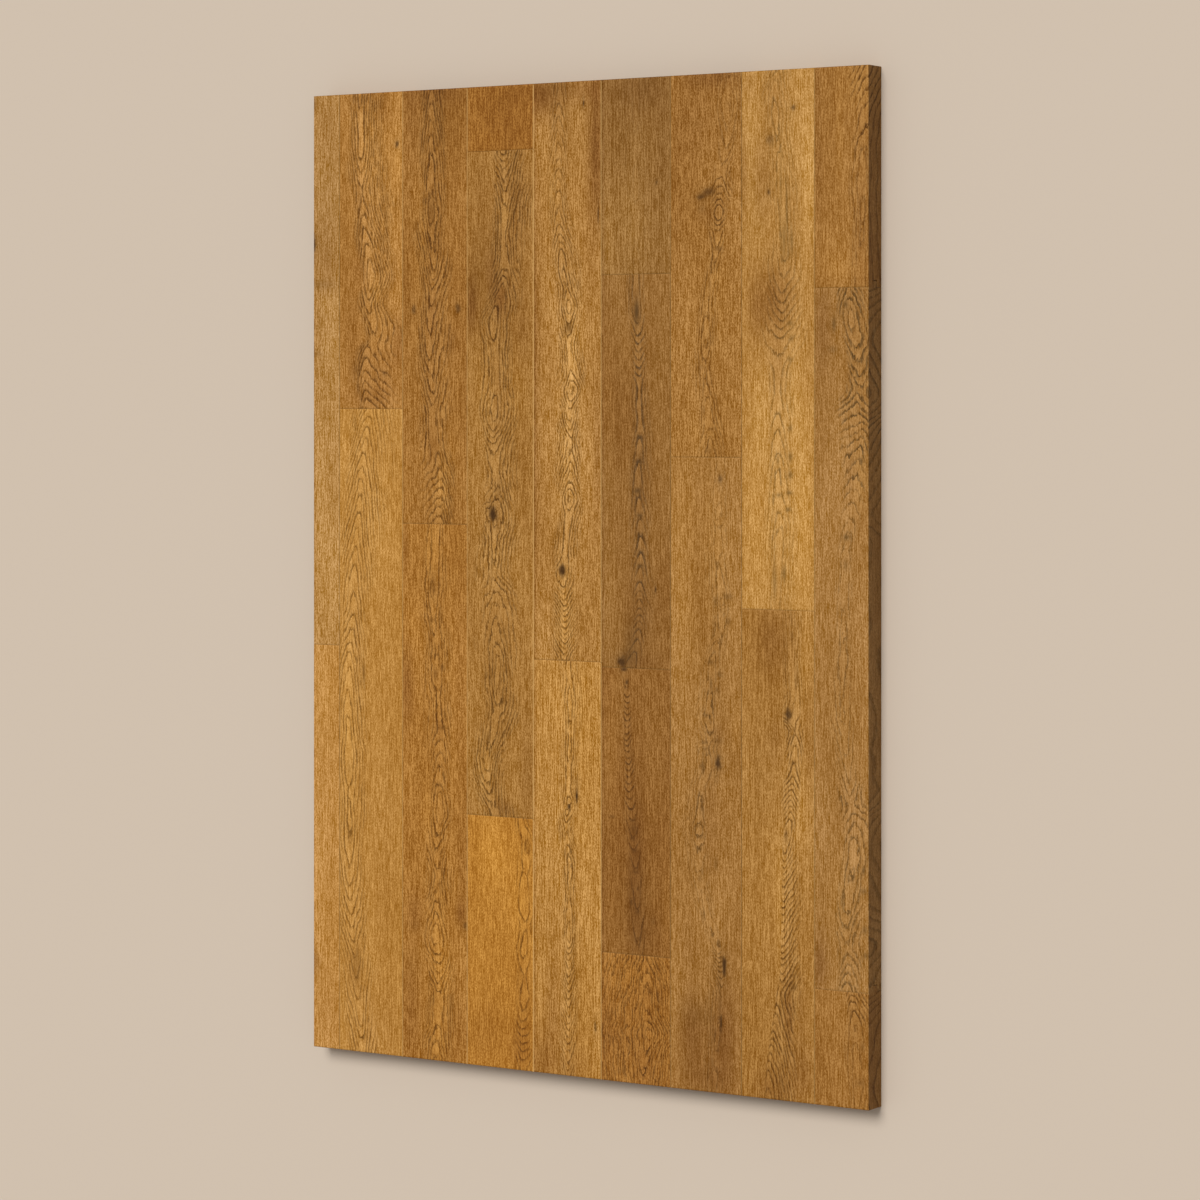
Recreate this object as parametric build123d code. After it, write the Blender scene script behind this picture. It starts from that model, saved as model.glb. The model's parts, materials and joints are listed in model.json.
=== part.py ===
from build123d import *
import os

# A parquet board of solid oak strips, tongued and grooved, glued up in courses and sawn square on all sides.
# X runs across the courses, Y along the grain and Z up out of the face.
# The origin is the middle of the back. All sizes are in millimetres.

# Board
thickness = 22.0
board_length = 860.0
strip_width = 70.0  # shoulder to shoulder, without the tongue
whole_courses = 7  # courses of full width between the two ripped ones
left_rip_width = 29.0  # what the saw left of the first course
right_rip_width = 51.0  # what the saw left of the last course

# Tongue and groove, the same along the sides and across the ends of a strip
wear_depth = 8.5  # from the face down to the groove
groove_height = 6.0
groove_depth = 6.0
tongue_play = 0.1  # glue clearance above and below the tongue
tip_gap = 0.5  # glue room between the tongue's tip and the groove's bottom
tongue_nose = 1.0  # bevel on both corners of the tongue's tip
back_relief = 0.3  # the groove's lower lip stands back, so that the joint closes at the face

# Bevels round the face of a strip
side_bevel = 0.5  # long joints between two courses
end_bevel = 0.3  # butt joints within a course
sawn_bevel = 0.4  # arris of the board's sawn sides

# Butt joints in each course, from the left. A course lists first the joints that are measured up from the
# board's sawn lower end, then those that are measured down from its sawn upper end.
butt_joints = [
    ([364.0], []),
    ([], [283.0]),
    ([], [385.0]),
    ([220.0], [57.0]),
    ([359.0], []),
    ([110.0, 355.0], [168.0]),
    ([], [324.0]),
    ([409.0], []),
    ([96.0], [183.0]),
]
place_names = {
    1: ["whole"],
    2: ["lower", "upper"],
    3: ["lower", "middle", "upper"],
    4: ["lower", "lower_middle", "upper_middle", "upper"],
}

# Sizes that follow
course_widths = [left_rip_width] + [strip_width] * whole_courses + [right_rip_width]
board_width = sum(course_widths)
groove_roof = thickness - wear_depth
groove_floor = groove_roof - groove_height
tongue_top = groove_roof - tongue_play
tongue_bottom = groove_floor + tongue_play
tongue_reach = groove_depth - tip_gap


def grooved_edge(shoulder, bevel):
    """Outline of a grooved edge that faces backwards, from the back of the strip up to its face."""
    lip = shoulder + back_relief
    bottom = shoulder + groove_depth
    return [
        (lip, 0),
        (lip, groove_floor),
        (bottom, groove_floor),
        (bottom, groove_roof),
        (shoulder, groove_roof),
        (shoulder, thickness - bevel),
        (shoulder + bevel, thickness),
    ]


def tongued_edge(shoulder, bevel):
    """Outline of a tongued edge that faces forwards, from the face of the strip down to its back."""
    tip = shoulder + tongue_reach
    return [
        (shoulder - bevel, thickness),
        (shoulder, thickness - bevel),
        (shoulder, tongue_top),
        (tip - tongue_nose, tongue_top),
        (tip, tongue_top - tongue_nose),
        (tip, tongue_bottom + tongue_nose),
        (tip - tongue_nose, tongue_bottom),
        (shoulder, tongue_bottom),
        (shoulder, 0),
    ]


def sawn_edge_backwards(side):
    """Outline of a sawn edge that faces backwards, from the back up to the face."""
    return [(side, 0), (side, thickness - sawn_bevel), (side + sawn_bevel, thickness)]


def sawn_edge_forwards(side):
    """Outline of a sawn edge that faces forwards, from the face down to the back."""
    return [(side - sawn_bevel, thickness), (side, thickness - sawn_bevel), (side, 0)]


def section(start, end, is_first, is_last, bevel):
    """Section of a strip from its start shoulder to its end shoulder: groove behind, tongue in front.
    The first and the last strip of a run are sawn off at the outside of the board."""
    rising = sawn_edge_backwards(start) if is_first else grooved_edge(start, bevel)
    falling = sawn_edge_forwards(end) if is_last else tongued_edge(end, bevel)
    return make_face(Polyline(*rising, *falling, close=True))


def milled_strip(side_section, end_section):
    """A strip is what the cutters leave when they run along its sides and across its ends."""
    along_sides = extrude(Plane.XZ * side_section, amount=board_length, both=True)
    across_ends = extrude(Plane.YZ * end_section, amount=board_width, both=True)
    return along_sides & across_ends


def edges_between(start, steps):
    """Running positions from start, one after each step."""
    positions = [start]
    for step in steps:
        positions.append(positions[-1] + step)
    return positions


def strips():
    """Every strip of the board with its name, course by course from the left, each from the lower end up."""
    course_sides = edges_between(-board_width / 2, course_widths)
    last_course = len(course_widths) - 1
    for course in range(len(course_widths)):
        side_section = section(
            course_sides[course], course_sides[course + 1], course == 0, course == last_course, side_bevel
        )
        joints_up, joints_down = butt_joints[course % len(butt_joints)]
        lower_joints = [y - board_length / 2 for y in joints_up]
        upper_joints = [board_length / 2 - y for y in joints_down]
        ends = [-board_length / 2, *lower_joints, *upper_joints, board_length / 2]
        last_strip = len(ends) - 2
        for strip, place in enumerate(place_names[len(ends) - 1]):
            end_section = section(ends[strip], ends[strip + 1], strip == 0, strip == last_strip, end_bevel)
            yield f"strip_{course + 1}_{place}", milled_strip(side_section, end_section)


os.makedirs("parts", exist_ok=True)
for name, solid in strips():
    export_step(solid, f"parts/{name}.step")
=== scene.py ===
import json
import math
from functools import partial
import bpy
import numpy as np
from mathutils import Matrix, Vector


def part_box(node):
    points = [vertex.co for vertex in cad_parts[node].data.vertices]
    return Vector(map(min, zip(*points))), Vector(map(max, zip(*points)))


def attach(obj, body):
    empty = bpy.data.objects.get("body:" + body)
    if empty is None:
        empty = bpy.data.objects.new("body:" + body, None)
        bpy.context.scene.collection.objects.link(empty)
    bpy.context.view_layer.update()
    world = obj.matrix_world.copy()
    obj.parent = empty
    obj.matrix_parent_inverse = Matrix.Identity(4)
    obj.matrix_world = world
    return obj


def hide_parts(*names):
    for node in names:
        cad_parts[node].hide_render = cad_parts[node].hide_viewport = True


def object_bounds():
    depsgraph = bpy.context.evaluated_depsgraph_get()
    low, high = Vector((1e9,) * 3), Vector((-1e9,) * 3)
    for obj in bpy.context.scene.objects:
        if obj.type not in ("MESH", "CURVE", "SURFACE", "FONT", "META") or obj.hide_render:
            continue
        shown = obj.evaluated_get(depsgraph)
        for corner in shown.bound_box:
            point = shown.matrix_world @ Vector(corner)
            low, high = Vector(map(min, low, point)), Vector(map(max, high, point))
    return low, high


# A parquet board of stained oak strips that lies on the floor, seen from above.
# Lengths in the dictionaries are millimetres, in the board's own frame. Blender's are metres.

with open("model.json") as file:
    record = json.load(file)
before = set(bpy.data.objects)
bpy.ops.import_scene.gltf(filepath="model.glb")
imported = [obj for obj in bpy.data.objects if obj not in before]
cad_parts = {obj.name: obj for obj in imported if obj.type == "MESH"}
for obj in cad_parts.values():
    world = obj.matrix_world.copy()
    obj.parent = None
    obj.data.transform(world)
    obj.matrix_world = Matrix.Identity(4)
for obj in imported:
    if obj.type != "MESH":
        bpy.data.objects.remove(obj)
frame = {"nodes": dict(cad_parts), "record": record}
cadLow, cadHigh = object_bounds()
mm = 0.001
boardLow, boardHigh = np.array(cadLow) / mm, np.array(cadHigh) / mm
thickness = boardHigh[2]
print("frame:", len(frame["nodes"]), "strips, board", (boardHigh - boardLow).round(1))

# How a strip is milled, as in the solids
milling = {
    "wearDepth": 8.5,  # face down to the groove
    "grooveHeight": 6.0,
    "grooveDepth": 6.0,
    "tonguePlay": 0.1,
    "tipGap": 0.5,
    "tongueNose": 1.0,
    "backRelief": 0.3,
    "sideBevel": 0.5,
    "endBevel": 0.3,
    "sawnBevel": 0.4,
    "ledgeFall": 0.01,  # a ledge slopes this little, so that every level has its own depth
}
# How fine the meshes are, and how deep the brushed grain
surface = {
    "cellAcross": 0.8,
    "cellAlong": 1.6,
    "wallLevels": [0.6, 3.0, 5.75, 11.5, 17.0, 19.5],  # depths where a sawn wall has more rows
    "wallJag": 0.3,  # share of the zigzags that is left on sawn walls
    "pitchLimits": (1.5, 30.0),  # narrowest and widest ring that is reckoned with
    "grainDepth": 0.05,
    "grainHalf": 1.6,  # half width of a brushed groove
    "follow": (1.4, 4.0),  # full depth where the rings are wide, none where they are finer than the cells
}

# Stains by the record's slots: pale and deep tone of the wood, and the tone of its dark rings
stains = {
    "oak_straw": {"pale": (0.53, 0.275, 0.066), "deep": (0.43, 0.207, 0.042), "line": (0.19, 0.082, 0.01)},
    "oak_honey": {"pale": (0.5, 0.237, 0.049), "deep": (0.415, 0.182, 0.029), "line": (0.165, 0.064, 0.006)},
    "oak_amber": {"pale": (0.41, 0.183, 0.038), "deep": (0.33, 0.136, 0.022), "line": (0.13, 0.048, 0.005)},
    "oak_tan": {"pale": (0.4, 0.191, 0.044), "deep": (0.32, 0.142, 0.027), "line": (0.125, 0.05, 0.006)},
    "oak_brown": {"pale": (0.31, 0.14, 0.031), "deep": (0.25, 0.102, 0.018), "line": (0.095, 0.036, 0.005)},
}
# Long joints from the left, on the bevels of the strip before and of the strip after:
# above 0 a painted highlight on the bevels, below 0 stained dark
longJoints = [
    (0.27, 0.05), (0.5, 0.1), (0.6, 0.25), (1.0, -0.2),
    (0.75, -0.5), (0.2, 0.25), (0.18, 0.15), (0.35, 0.1),
]
endJoints = 0.25  # the same for butt joints, here a painted highlight that lightens the shade on their bevels
jointSpread = 0.2  # how much of it goes on over the edge of the face
# pale: a painted highlight on the joint bevels; dark: the stain in the joints
jointHighlightAndStain = {"pale": (0.93, 0.57, 0.2), "dark": (0.085, 0.036, 0.011)}
knotTone = (0.055, 0.021, 0.003)
# What the fine grain makes of a tone where it is darkest and where it is lightest
grainTones = {"dark": (0.56, 0.39, -0.35), "light": (1.44, 1.65, 2.8)}
liftTone = (1.3, 1.6, 2.0)  # what a lift of 1 adds to a tone, as a share of it
sawnSideShade = (0.56, 0.56, 0.5)  # painted shade: what the board's sawn sides and ends are darkened by

# What a strip has unless it says otherwise. The axis is the middle line of its figure:
# along the board, sideways from the strip's middle, and rings counted there.
# Rings that grow upwards make arches, rings that grow downwards make troughs, a low point makes an eye.
plainLook = {
    "tint": (1, 1, 1),  # of its stain; on the first two courses partly painted light, the brighter light on the board's left side
    "axis": [(0, 0, 0)],
    "flanks": [(0, 3.3, 3.3)],  # along the board, width of a ring left and right of the axis
    "reach": [(0, 18, 18)],  # along the board, how far the dark rings show left and right of the axis
    "nose": 2.5,  # roundness of an arch
    "wander": 0.5,  # slow bends, in rings
    "jag": 0.35,  # fine zigzags, in rings
    "figure": [(0, 0.85)],  # along the board, how dark the rings are drawn
    "flankShare": 0.7,  # how dark they still are on the flanks
    "bold": [(0, 1.15)],  # along the board, how thick they are, about one millimetre at 1
    "lineTint": (1, 1, 1),  # of the rings alone
    "plain": 0.08,  # what is left of them beyond their reach
    "grain": 1.0,  # how strong the fine grain is
    "threads": 0.3,  # share of long straight threads in it
    "dive": 2.8,  # how far down the rings have shifted by one
    "wallFigure": 0.5,  # how dark the rings are on sawn walls
    "wallPitch": 3.0,  # ring to ring on sawn walls
    "knots": [],  # across, along, half width, half length, darkness, rings that flow round it
    "shades": [],  # across, along, half width, half length, darkness
    "woodAndShadeLifts": [],  # across, along, half width, half length, lightness, below 0 for darker; mostly the wood's own tone, and near the lower end painted shade that darkens the board towards the bottom
}
# The last course, whose sawn side is in view
rightWall = {"dive": 9.0, "wallFigure": 0.6, "wallPitch": 6.5}
stripLooks = {
    # Courses 1 and 2 are tinted lighter partly as painted light: their tints also hold the brighter light on
    # the board's left side.
    "strip_1_upper": {
        "tint": (1.229, 1.331, 1.392), "figure": [(0, 0.06)], "grain": 1.05,
        "knots": [(-14.5, 296, 2.5, 7, 0.8, 0)],
        "shades": [
            (-8, 259, 18, 4.5, 0.32), (-12, 197, 8, 3, 0.25), (-14, 424, 3, 7, 0.43), (0, 335, 30, 50, 0.1),
        ],
        "woodAndShadeLifts": [
            (0, 280, 14, 50, -0.16), (0, 242, 16, 8, 0.08), (0, 20, 20, 110, 0.12), (0, 400, 14, 40, -0.06),
            (0, -30, 14, 40, 0.05),
        ],
    },
    "strip_1_lower": {
        "tint": (1.136, 1.193, 1.287), "figure": [(0, 0.06)], "grain": 0.9,
        "shades": [(-14, -355, 6, 14, 0.25)],
        "woodAndShadeLifts": [(-12, -352, 5, 8, -0.15), (0, -105, 14, 40, 0.06), (0, -400, 14, 40, -0.06)],
    },
    "strip_2_upper": {
        "tint": (1.232, 1.294, 1.201), "reach": [(0, 14, 34)], "wander": 0.4, "figure": [(0, 1.0)],
        "flankShare": 0.85, "grain": 1.1, "threads": 0.25,
        "bold": [(147, 1.5), (230, 1.45), (300, 1.45)],
        "axis": [
            (430, -12, 5), (385, -11, 5.5), (345, -11, 8), (330, -9, 7.5), (310, -7, 6), (290, -3, 4.6),
            (265, 1, 3), (240, -4, 5.6), (225, 2, 6.4), (209, 4, 7.4), (203, -5, 7.1), (194, -7, 6.1),
            (183, -7, 5.1), (174, -7, 4.1), (164, -6, 3.1), (157, -5, 2.1), (147, -4, 0.8),
        ],
        "flanks": [(147, 2.2, 9.0), (205, 2.5, 8.0), (240, 2.8, 2.8), (430, 2.6, 2.6)],
        "knots": [(29, 383, 2.0, 3.0, 0.8, 1.5), (15, 178, 2.5, 2.0, 0.35, 0)],
        "shades": [(-30, 280, 16, 190, 0.12)],
        "woodAndShadeLifts": [
            (-4, 380, 9, 35, 0.12), (-18, 215, 14, 60, -0.1), (18, 360, 16, 60, 0.09),
            (6, 252, 7, 12, 0.15), (12, 178, 24, 30, -0.14), (30, 208, 8, 22, -0.2),
            (-12, 272, 8, 14, -0.1), (0, 156, 34, 12, -0.1), (-12, 338, 6, 50, -0.06),
            (-10, 424, 20, 9, -0.1), (16, 415, 8, 20, -0.1), (30, 370, 4, 20, 0.1),
        ],
    },
    "strip_2_lower": {
        "tint": (1.075, 1.104, 0.994), "flankShare": 0.85, "grain": 0.84,
        "reach": [(-430, 18, 22), (10, 18, 22), (90, 26, 36)],
        "axis": [
            (147, -1, 20.5), (120, -5, 18), (94, -10, 16), (66, -13, 14), (31, -16, 12), (2, -19, 10),
            (-35, -20, 8), (-60, -22, 6), (-84, -24, 4), (-120, -26, 2.6), (-165, -24, 1.6),
            (-200, -24, 2.2), (-245, -24, 2.4), (-272, -24, 3.2), (-300, -23, 5.3), (-329, -20, 8),
            (-345, -17, 9.2), (-373, -15, 10.5), (-393, -13, 11.5), (-408, -11, 12.5), (-430, -9, 14),
        ],
        "shades": [
            (-8, -90, 2, 12, 0.58), (-16, -355, 5, 16, 0.36), (-24, -176, 2.5, 8, 0.29),
            (-24, -236, 2.5, 8, 0.29),
        ],
        "woodAndShadeLifts": [
            (2, 140, 14, 16, 0.06), (0, 70, 40, 70, 0.04), (-25, -150, 8, 80, 0.1),
            (16, -250, 20, 120, -0.05), (-18, -352, 8, 22, -0.1), (8, -410, 26, 40, -0.07),
            (-15, -60, 4, 30, -0.08),
        ],
    },
    "strip_3_upper": {
        "tint": (0.954, 0.943, 0.737), "jag": 0.5, "figure": [(0, 1.0)], "flankShare": 0.85, "grain": 1.17,
        "reach": [(45, 18, 18), (130, 18, 22), (160, 16, 26), (260, 16, 26), (300, 18, 20)],
        "bold": [(45, 1.5), (95, 1.5), (125, 1.4), (430, 1.4)],
        "axis": [
            (430, -4, 6), (405, -4, 4.1), (385, -4, 3.1), (365, -4, 2.1), (345, -4, 1.1), (320, -4, 0.3),
            (292, -3, 2.1), (270, -2, 3.5), (250, -2, 5.1), (230, -4, 6.2), (203, -5, 7.4), (185, -5, 8.4),
            (165, -4, 9.6), (145, -3, 11.2), (120, -1, 11), (100, 4, 10.3), (90, 7, 9.5), (70, 7, 7.4),
            (55, 6, 5.6), (45, 6, 4.4),
        ],
        "flanks": [
            (45, 7.0, 2.6), (90, 7.0, 2.6), (125, 3.0, 3.2), (160, 2.8, 4.0), (260, 2.6, 4.0),
            (320, 2.6, 2.8),
        ],
        "knots": [(-23, 235, 2.5, 3.5, 0.6, 0.6), (25, 236, 2.5, 4, 0.65, 0.6)],
        "shades": [(-4, 322, 3, 14, 0.43), (8, 410, 22, 30, 0.12)],
        "woodAndShadeLifts": [
            (-24, 405, 9, 45, -0.12), (4, 430, 36, 14, -0.18), (-4, 190, 8, 60, -0.07),
            (-14, 340, 7, 30, 0.08), (8, 74, 9, 28, 0.2), (-15, 275, 8, 40, 0.1), (-2, 232, 5, 18, -0.12),
            (16, 105, 10, 30, 0.1), (-1, 112, 6, 22, -0.1), (18, 206, 10, 16, -0.1), (-30, 70, 4, 40, 0.08),
            (-4, 350, 4, 50, -0.06),
        ],
    },
    "strip_3_lower": {
        "tint": (1.085, 1.074, 0.803), "reach": [(0, 15, 17)], "jag": 0.55, "figure": [(0, 0.95)],
        "bold": [(0, 1.3)], "grain": 1.22,
        "axis": [
            (45, 1, 4.4), (20, 0, 4.2), (5, -1, 3.9), (-8, -2, 3.6), (-38, -3, 5.05), (-60, 2, 5.6),
            (-88, 1, 5.3), (-115, 3, 5.9), (-140, 6, 5.1), (-155, 6, 4.1), (-168, 6, 3.1), (-186, 5, 2.05),
            (-196, 5, 1.05), (-212, 6, 0.5), (-225, 3, 1.4), (-240, 2, 2.6), (-252, 2, 3.6), (-265, 5, 4.6),
            (-283, 3, 4.05), (-295, 1, 2.6), (-304, 1, 1.6), (-319, 1, 0.3), (-331, 1, 1.05),
            (-338, 2, 2.05), (-346, 3, 3.1), (-356, 3, 4.6), (-371, 4, 6.6), (-400, 4, 6.2), (-413, 1, 5),
            (-430, 2, 4),
        ],
        "knots": [(33, -308, 2.0, 3.0, 0.5, 0)],
        "shades": [
            (4, -186, 4, 2, 0.43), (6, -38, 1.5, 10, 0.36), (8, -82, 2, 2.5, 0.51), (8, -135, 3, 2, 0.58),
            (-4, -40, 3, 2, 0.51), (-2, -8, 3, 12, 0.43), (1, -88, 2.5, 6, 0.51), (-22, -312, 9, 5, 0.18),
            (-25, -345, 14, 20, 0.12),
        ],
        "woodAndShadeLifts": [
            (-3, 25, 9, 35, 0.1), (-31, -100, 8, 35, -0.26), (6, -330, 10, 45, 0.18),
            (-33, 25, 5, 25, -0.16), (4, -410, 9, 30, 0.14), (-26, -390, 12, 60, -0.2),
            (28, -297, 6, 11, -0.22), (-22, -300, 9, 20, -0.2), (26, -400, 10, 40, -0.1),
            (12, -350, 8, 22, 0.14), (-24, -45, 9, 26, 0.1), (-6, -212, 10, 22, 0.1),
            (6, -135, 5, 8, -0.16), (28, -100, 7, 90, -0.1), (30, -260, 5, 50, -0.08),
        ],
    },
    "strip_4_upper": {
        "tint": (0.826, 0.738, 0.417), "figure": [(0, 0.15)], "grain": 1.2,
        "woodAndShadeLifts": [(-12, 381, 14, 9, 0.1), (20, 425, 14, 12, -0.08)],
    },
    "strip_4_middle": {
        "tint": (1.075, 1.074, 0.856), "jag": 0.6, "figure": [(0, 1.0)], "flankShare": 0.85,
        "bold": [(0, 1.25)], "grain": 1.1,
        "reach": [(-210, 18, 22), (-50, 18, 24), (150, 17, 26), (290, 15, 28), (320, 14, 36)],
        "axis": [
            (373, 2, 2), (357, 3, 4.05), (345, 4, 5.2), (322, 5, 7.6), (300, 4, 7.9), (275, 3, 7.4),
            (264, 3, 6.1), (255, 2, 5.1), (246, 0, 4.1), (238, -3, 3.1), (226, -8, 2.1), (214, -7, 2.5),
            (208, -6, 3.05), (195, -5, 3.4), (165, -5, 3.4), (157, -5, 3.05), (148, -6, 2.5),
            (140, -6, 3.05), (132, -6, 4.05), (125, -7, 5.05), (117, -6, 6.05), (108, -5, 7.05),
            (90, -4, 7.6), (75, -4, 6.6), (57, -8, 3.6), (45, -6, 4.6), (32, -6, 6.3), (15, -8, 6),
            (0, -8, 5.8), (-13, -4, 5.05), (-28, -4, 4.05), (-47, -5, 3.05), (-61, -6, 2.05),
            (-73, -3, 1.05), (-95, -3, 0.5), (-115, -1, 1.6), (-140, -8, 2.6), (-160, -14, 3.6),
            (-179, -14, 5.05), (-195, -10, 6.3), (-210, -5, 7.2),
        ],
        "flanks": [
            (-210, 3.0, 3.0), (-75, 3.0, 3.4), (-50, 6.0, 5.5), (-15, 6.0, 6.0), (0, 3.0, 3.0),
            (100, 4.5, 3.4), (150, 4.5, 3.4), (200, 3.0, 3.0), (300, 2.6, 3.3),
        ],
        "knots": [(-8, 55, 3.8, 7.2, 0.95, 1.3)],
        "shades": [
            (-20, 265, 18, 34, 0.16), (-2, 78, 2, 8, 0.43), (-9, 12, 1.6, 12, 0.43),
            (2, -107, 2.5, 7, 0.36), (-12, -140, 3, 4, 0.43), (3, -138, 2, 4, 0.43),
        ],
        "woodAndShadeLifts": [
            (0, 300, 40, 70, -0.11), (-10, 265, 6, 22, -0.16), (0, 243, 7, 16, -0.28),
            (-31, 238, 8, 26, -0.26), (5, 318, 7, 18, 0.16), (-6, 17, 8, 14, 0.12),
            (16, 330, 14, 30, -0.06), (16, 165, 9, 40, 0.12), (-18, -165, 12, 26, 0.15),
            (28, -170, 8, 50, -0.1), (-18, 165, 10, 45, 0.1), (4, -202, 10, 8, -0.14),
            (24, 215, 12, 32, -0.1), (-3, 155, 4, 30, -0.08), (-3, 60, 5, 40, -0.06),
        ],
    },
    "strip_4_lower": {
        "tint": (1.025, 0.945, 0.579), "reach": [(0, 10, 10)], "grain": 0.95, "threads": 0.15,
        "axis": [
            (-210, 22, 2), (-232, 28, 0.8), (-260, 24, 1.6), (-290, 25, 0.8), (-302, 26, 2),
            (-325, 24, 1.4), (-347, 25, 3), (-365, 25, 2.2), (-385, 24, 3.4), (-417, 24, 8.5),
            (-430, 24, 10),
        ],
        "shades": [(28, -232, 3, 8, 0.43)],
        "woodAndShadeLifts": [
            (-6, -240, 26, 26, 0.1), (22, -410, 12, 24, -0.22), (-20, -405, 24, 36, -0.09),
            (18, -280, 8, 30, 0.09), (26, -362, 9, 24, -0.12), (-4, -255, 28, 45, 0.04),
            (-14, -400, 24, 40, -0.05),
        ],
    },
    "strip_5_upper": {
        "tint": (1.208, 1.228, 1.075), "nose": 2.0, "jag": 0.45, "flankShare": 0.85, "grain": 1.2,
        "threads": 0.15,
        "reach": [(-71, 15, 13), (50, 14, 14), (280, 15, 16), (330, 12, 14)],
        "figure": [(-71, 1.0), (260, 1.0), (330, 0.7)],
        "axis": [
            (430, -8, 16), (410, -9, 15), (345, -9, 9), (310, -9, 6), (280, -6, 3), (262, -3, 2.2),
            (249, 1, 2.1), (235, 2, 0.3), (222, 2, 1.8), (205, 2, 4.4), (185, 4, 3.6), (175, 4, 2.6),
            (162, 4, 0.2), (150, 3, 3.0), (133, 2, 5), (121, 4, 7), (112, 4, 6.05), (101, 4, 5.05),
            (92, 3, 4.05), (85, 3, 3.05), (78, 3, 2.05), (70, 3, 0.5), (58, 2, 2), (45, 0, 2.6),
            (25, -2, 2.5), (8, -5, 0.5), (-5, -4, 2), (-12, -4, 3.5), (-20, -3, 5.2), (-28, -3, 7),
            (-45, -3, 10.5), (-71, -3, 16),
        ],
        "flanks": [(-71, 2.6, 2.6)],
        "knots": [(-5, 7, 3.2, 5.5, 0.9, 1.0), (17, 411, 0.9, 3, 0.9, 0), (32, 315, 0.7, 7, 0.8, 0)],
        "shades": [(-20, 424, 22, 14, 0.22), (15, 400, 26, 50, 0.12), (2, 217, 4, 5, 0.8)],
        "woodAndShadeLifts": [
            (-33.5, 180, 1.4, 900, -0.12), (-28, 420, 16, 20, -0.34), (14, 424, 30, 14, -0.2),
            (30, 370, 8, 70, -0.34), (-15, 335, 8, 34, 0.14), (2, 130, 10, 110, 0.07),
            (32, 110, 6, 60, -0.16), (-33, 150, 6, 150, -0.14), (6, 205, 9, 40, 0.18),
            (-3, 110, 8, 50, 0.14), (-4, 5, 8, 22, 0.16), (-3, -40, 9, 30, 0.26),
        ],
    },
    "strip_5_lower": {
        "tint": (1.023, 1.044, 0.955), "reach": [(0, 11, 11)], "nose": 1.5, "jag": 0.6,
        "figure": [(0, 0.9)], "plain": 0.2, "grain": 1.15, "threads": 0.6,
        "axis": [
            (-71, 2, 3), (-110, 3, 1.5), (-150, 2, 2.2), (-184, 1, 3.05), (-190, 2, 2.05), (-197, 2, 0.5),
            (-204, 0, 2.05), (-209, -1, 3.05), (-215, -2, 4.05), (-224, 0, 4.3), (-245, 3, 1.5),
            (-280, 2, 2), (-310, 2, 1), (-350, 2, 7), (-390, 1, 13), (-430, 1, 19),
        ],
        "flanks": [(0, 2.4, 2.4)],
        "knots": [
            (2, -197, 1.5, 2.0, 1.0, 1.0), (10, -187, 1.0, 6.5, 1.0, 0), (4, -236, 0.8, 2, 0.7, 0),
            (4, -248, 0.9, 2, 0.7, 0), (29, -385, 1.2, 5, 0.6, 0),
        ],
        "woodAndShadeLifts": [
            (-33.5, -250, 1.4, 900, -0.12), (12, -130, 24, 70, 0.09), (-14, -370, 9, 60, -0.14),
            (24, -300, 12, 60, 0.04), (-10, -100, 24, 24, 0.06), (-20, -405, 16, 36, -0.05),
            (12, -220, 20, 30, 0.05), (-26, -422, 12, 24, -0.16), (6, -420, 16, 18, -0.1),
        ],
    },
    "strip_6_upper": {
        "tint": (0.796, 0.788, 0.656), "figure": [(0, 0.2)], "grain": 1.05, "threads": 0.55,
        "knots": [(21, 340, 1.2, 1.5, 0.6, 0)],
        "woodAndShadeLifts": [
            (-33.2, 350, 1.5, 900, -0.1), (-10, 305, 22, 45, 0.14), (0, 422, 36, 22, -0.14),
            (26, 360, 12, 50, -0.06), (-29, 285, 7, 40, 0.13),
        ],
    },
    "strip_6_upper_middle": {
        "tint": (1.075, 1.106, 0.952), "reach": [(0, 11, 13)], "wander": 0.35, "jag": 0.22,
        "flankShare": 0.35, "lineTint": (0.95, 1.15, 2.2), "grain": 0.95,
        "figure": [(-75, 0.9), (-30, 0.8), (0, 1.0)],
        "bold": [(-75, 1.1), (0, 1.3), (20, 1.7), (150, 1.7), (170, 1.3), (262, 1.3)],
        "axis": [
            (262, 0, 0.9), (245, 0, 0.7), (228, 1, 0.3), (210, 3, 1.8), (202, 3, 3), (195, 3, 4),
            (188, 3, 5), (180, 3, 6.2), (172, 3, 7.6), (160, 3, 7.9), (132, 4, 7.9), (123, 4, 7.1),
            (102, 3, 6.1), (77, 2, 5.1), (56, 4, 4.1), (40, 4, 3.1), (25, 5, 2.1), (13, 5, 1.1),
            (-2, 5, 0.1), (-10, 5, -0.9), (-18, 4, -1.9), (-25, 4, -2.9), (-35, 4, -5), (-60, 0, -8),
            (-75, -6, -9),
        ],
        "knots": [(-14, -70, 4.5, 4.0, 0.85, 0), (20, -7, 0.9, 2.5, 0.8, 0)],
        "shades": [
            (1, 230, 2.8, 11, 0.95), (-4, -52, 9, 20, 0.3), (-8, -66, 8, 7, 0.3), (4, 123, 4, 2, 0.58),
            (3, 102, 4.5, 1.6, 0.51), (2, 77, 4, 2.6, 0.85), (4, 56, 3.5, 1.8, 0.72), (4, 40, 3, 1.4, 0.43),
            (5, 25, 3, 1.4, 0.43), (5, 13, 3.5, 2, 0.51),
        ],
        "woodAndShadeLifts": [
            (-33.2, 90, 1.5, 900, -0.1), (0, 238, 6, 14, -0.06), (-2, 205, 14, 20, 0.08),
            (-30, 150, 7, 80, 0.08), (3, 80, 8, 50, -0.1), (8, -30, 16, 40, -0.12), (4, -70, 26, 8, -0.12),
            (-26, 0, 9, 40, 0.06),
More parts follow.
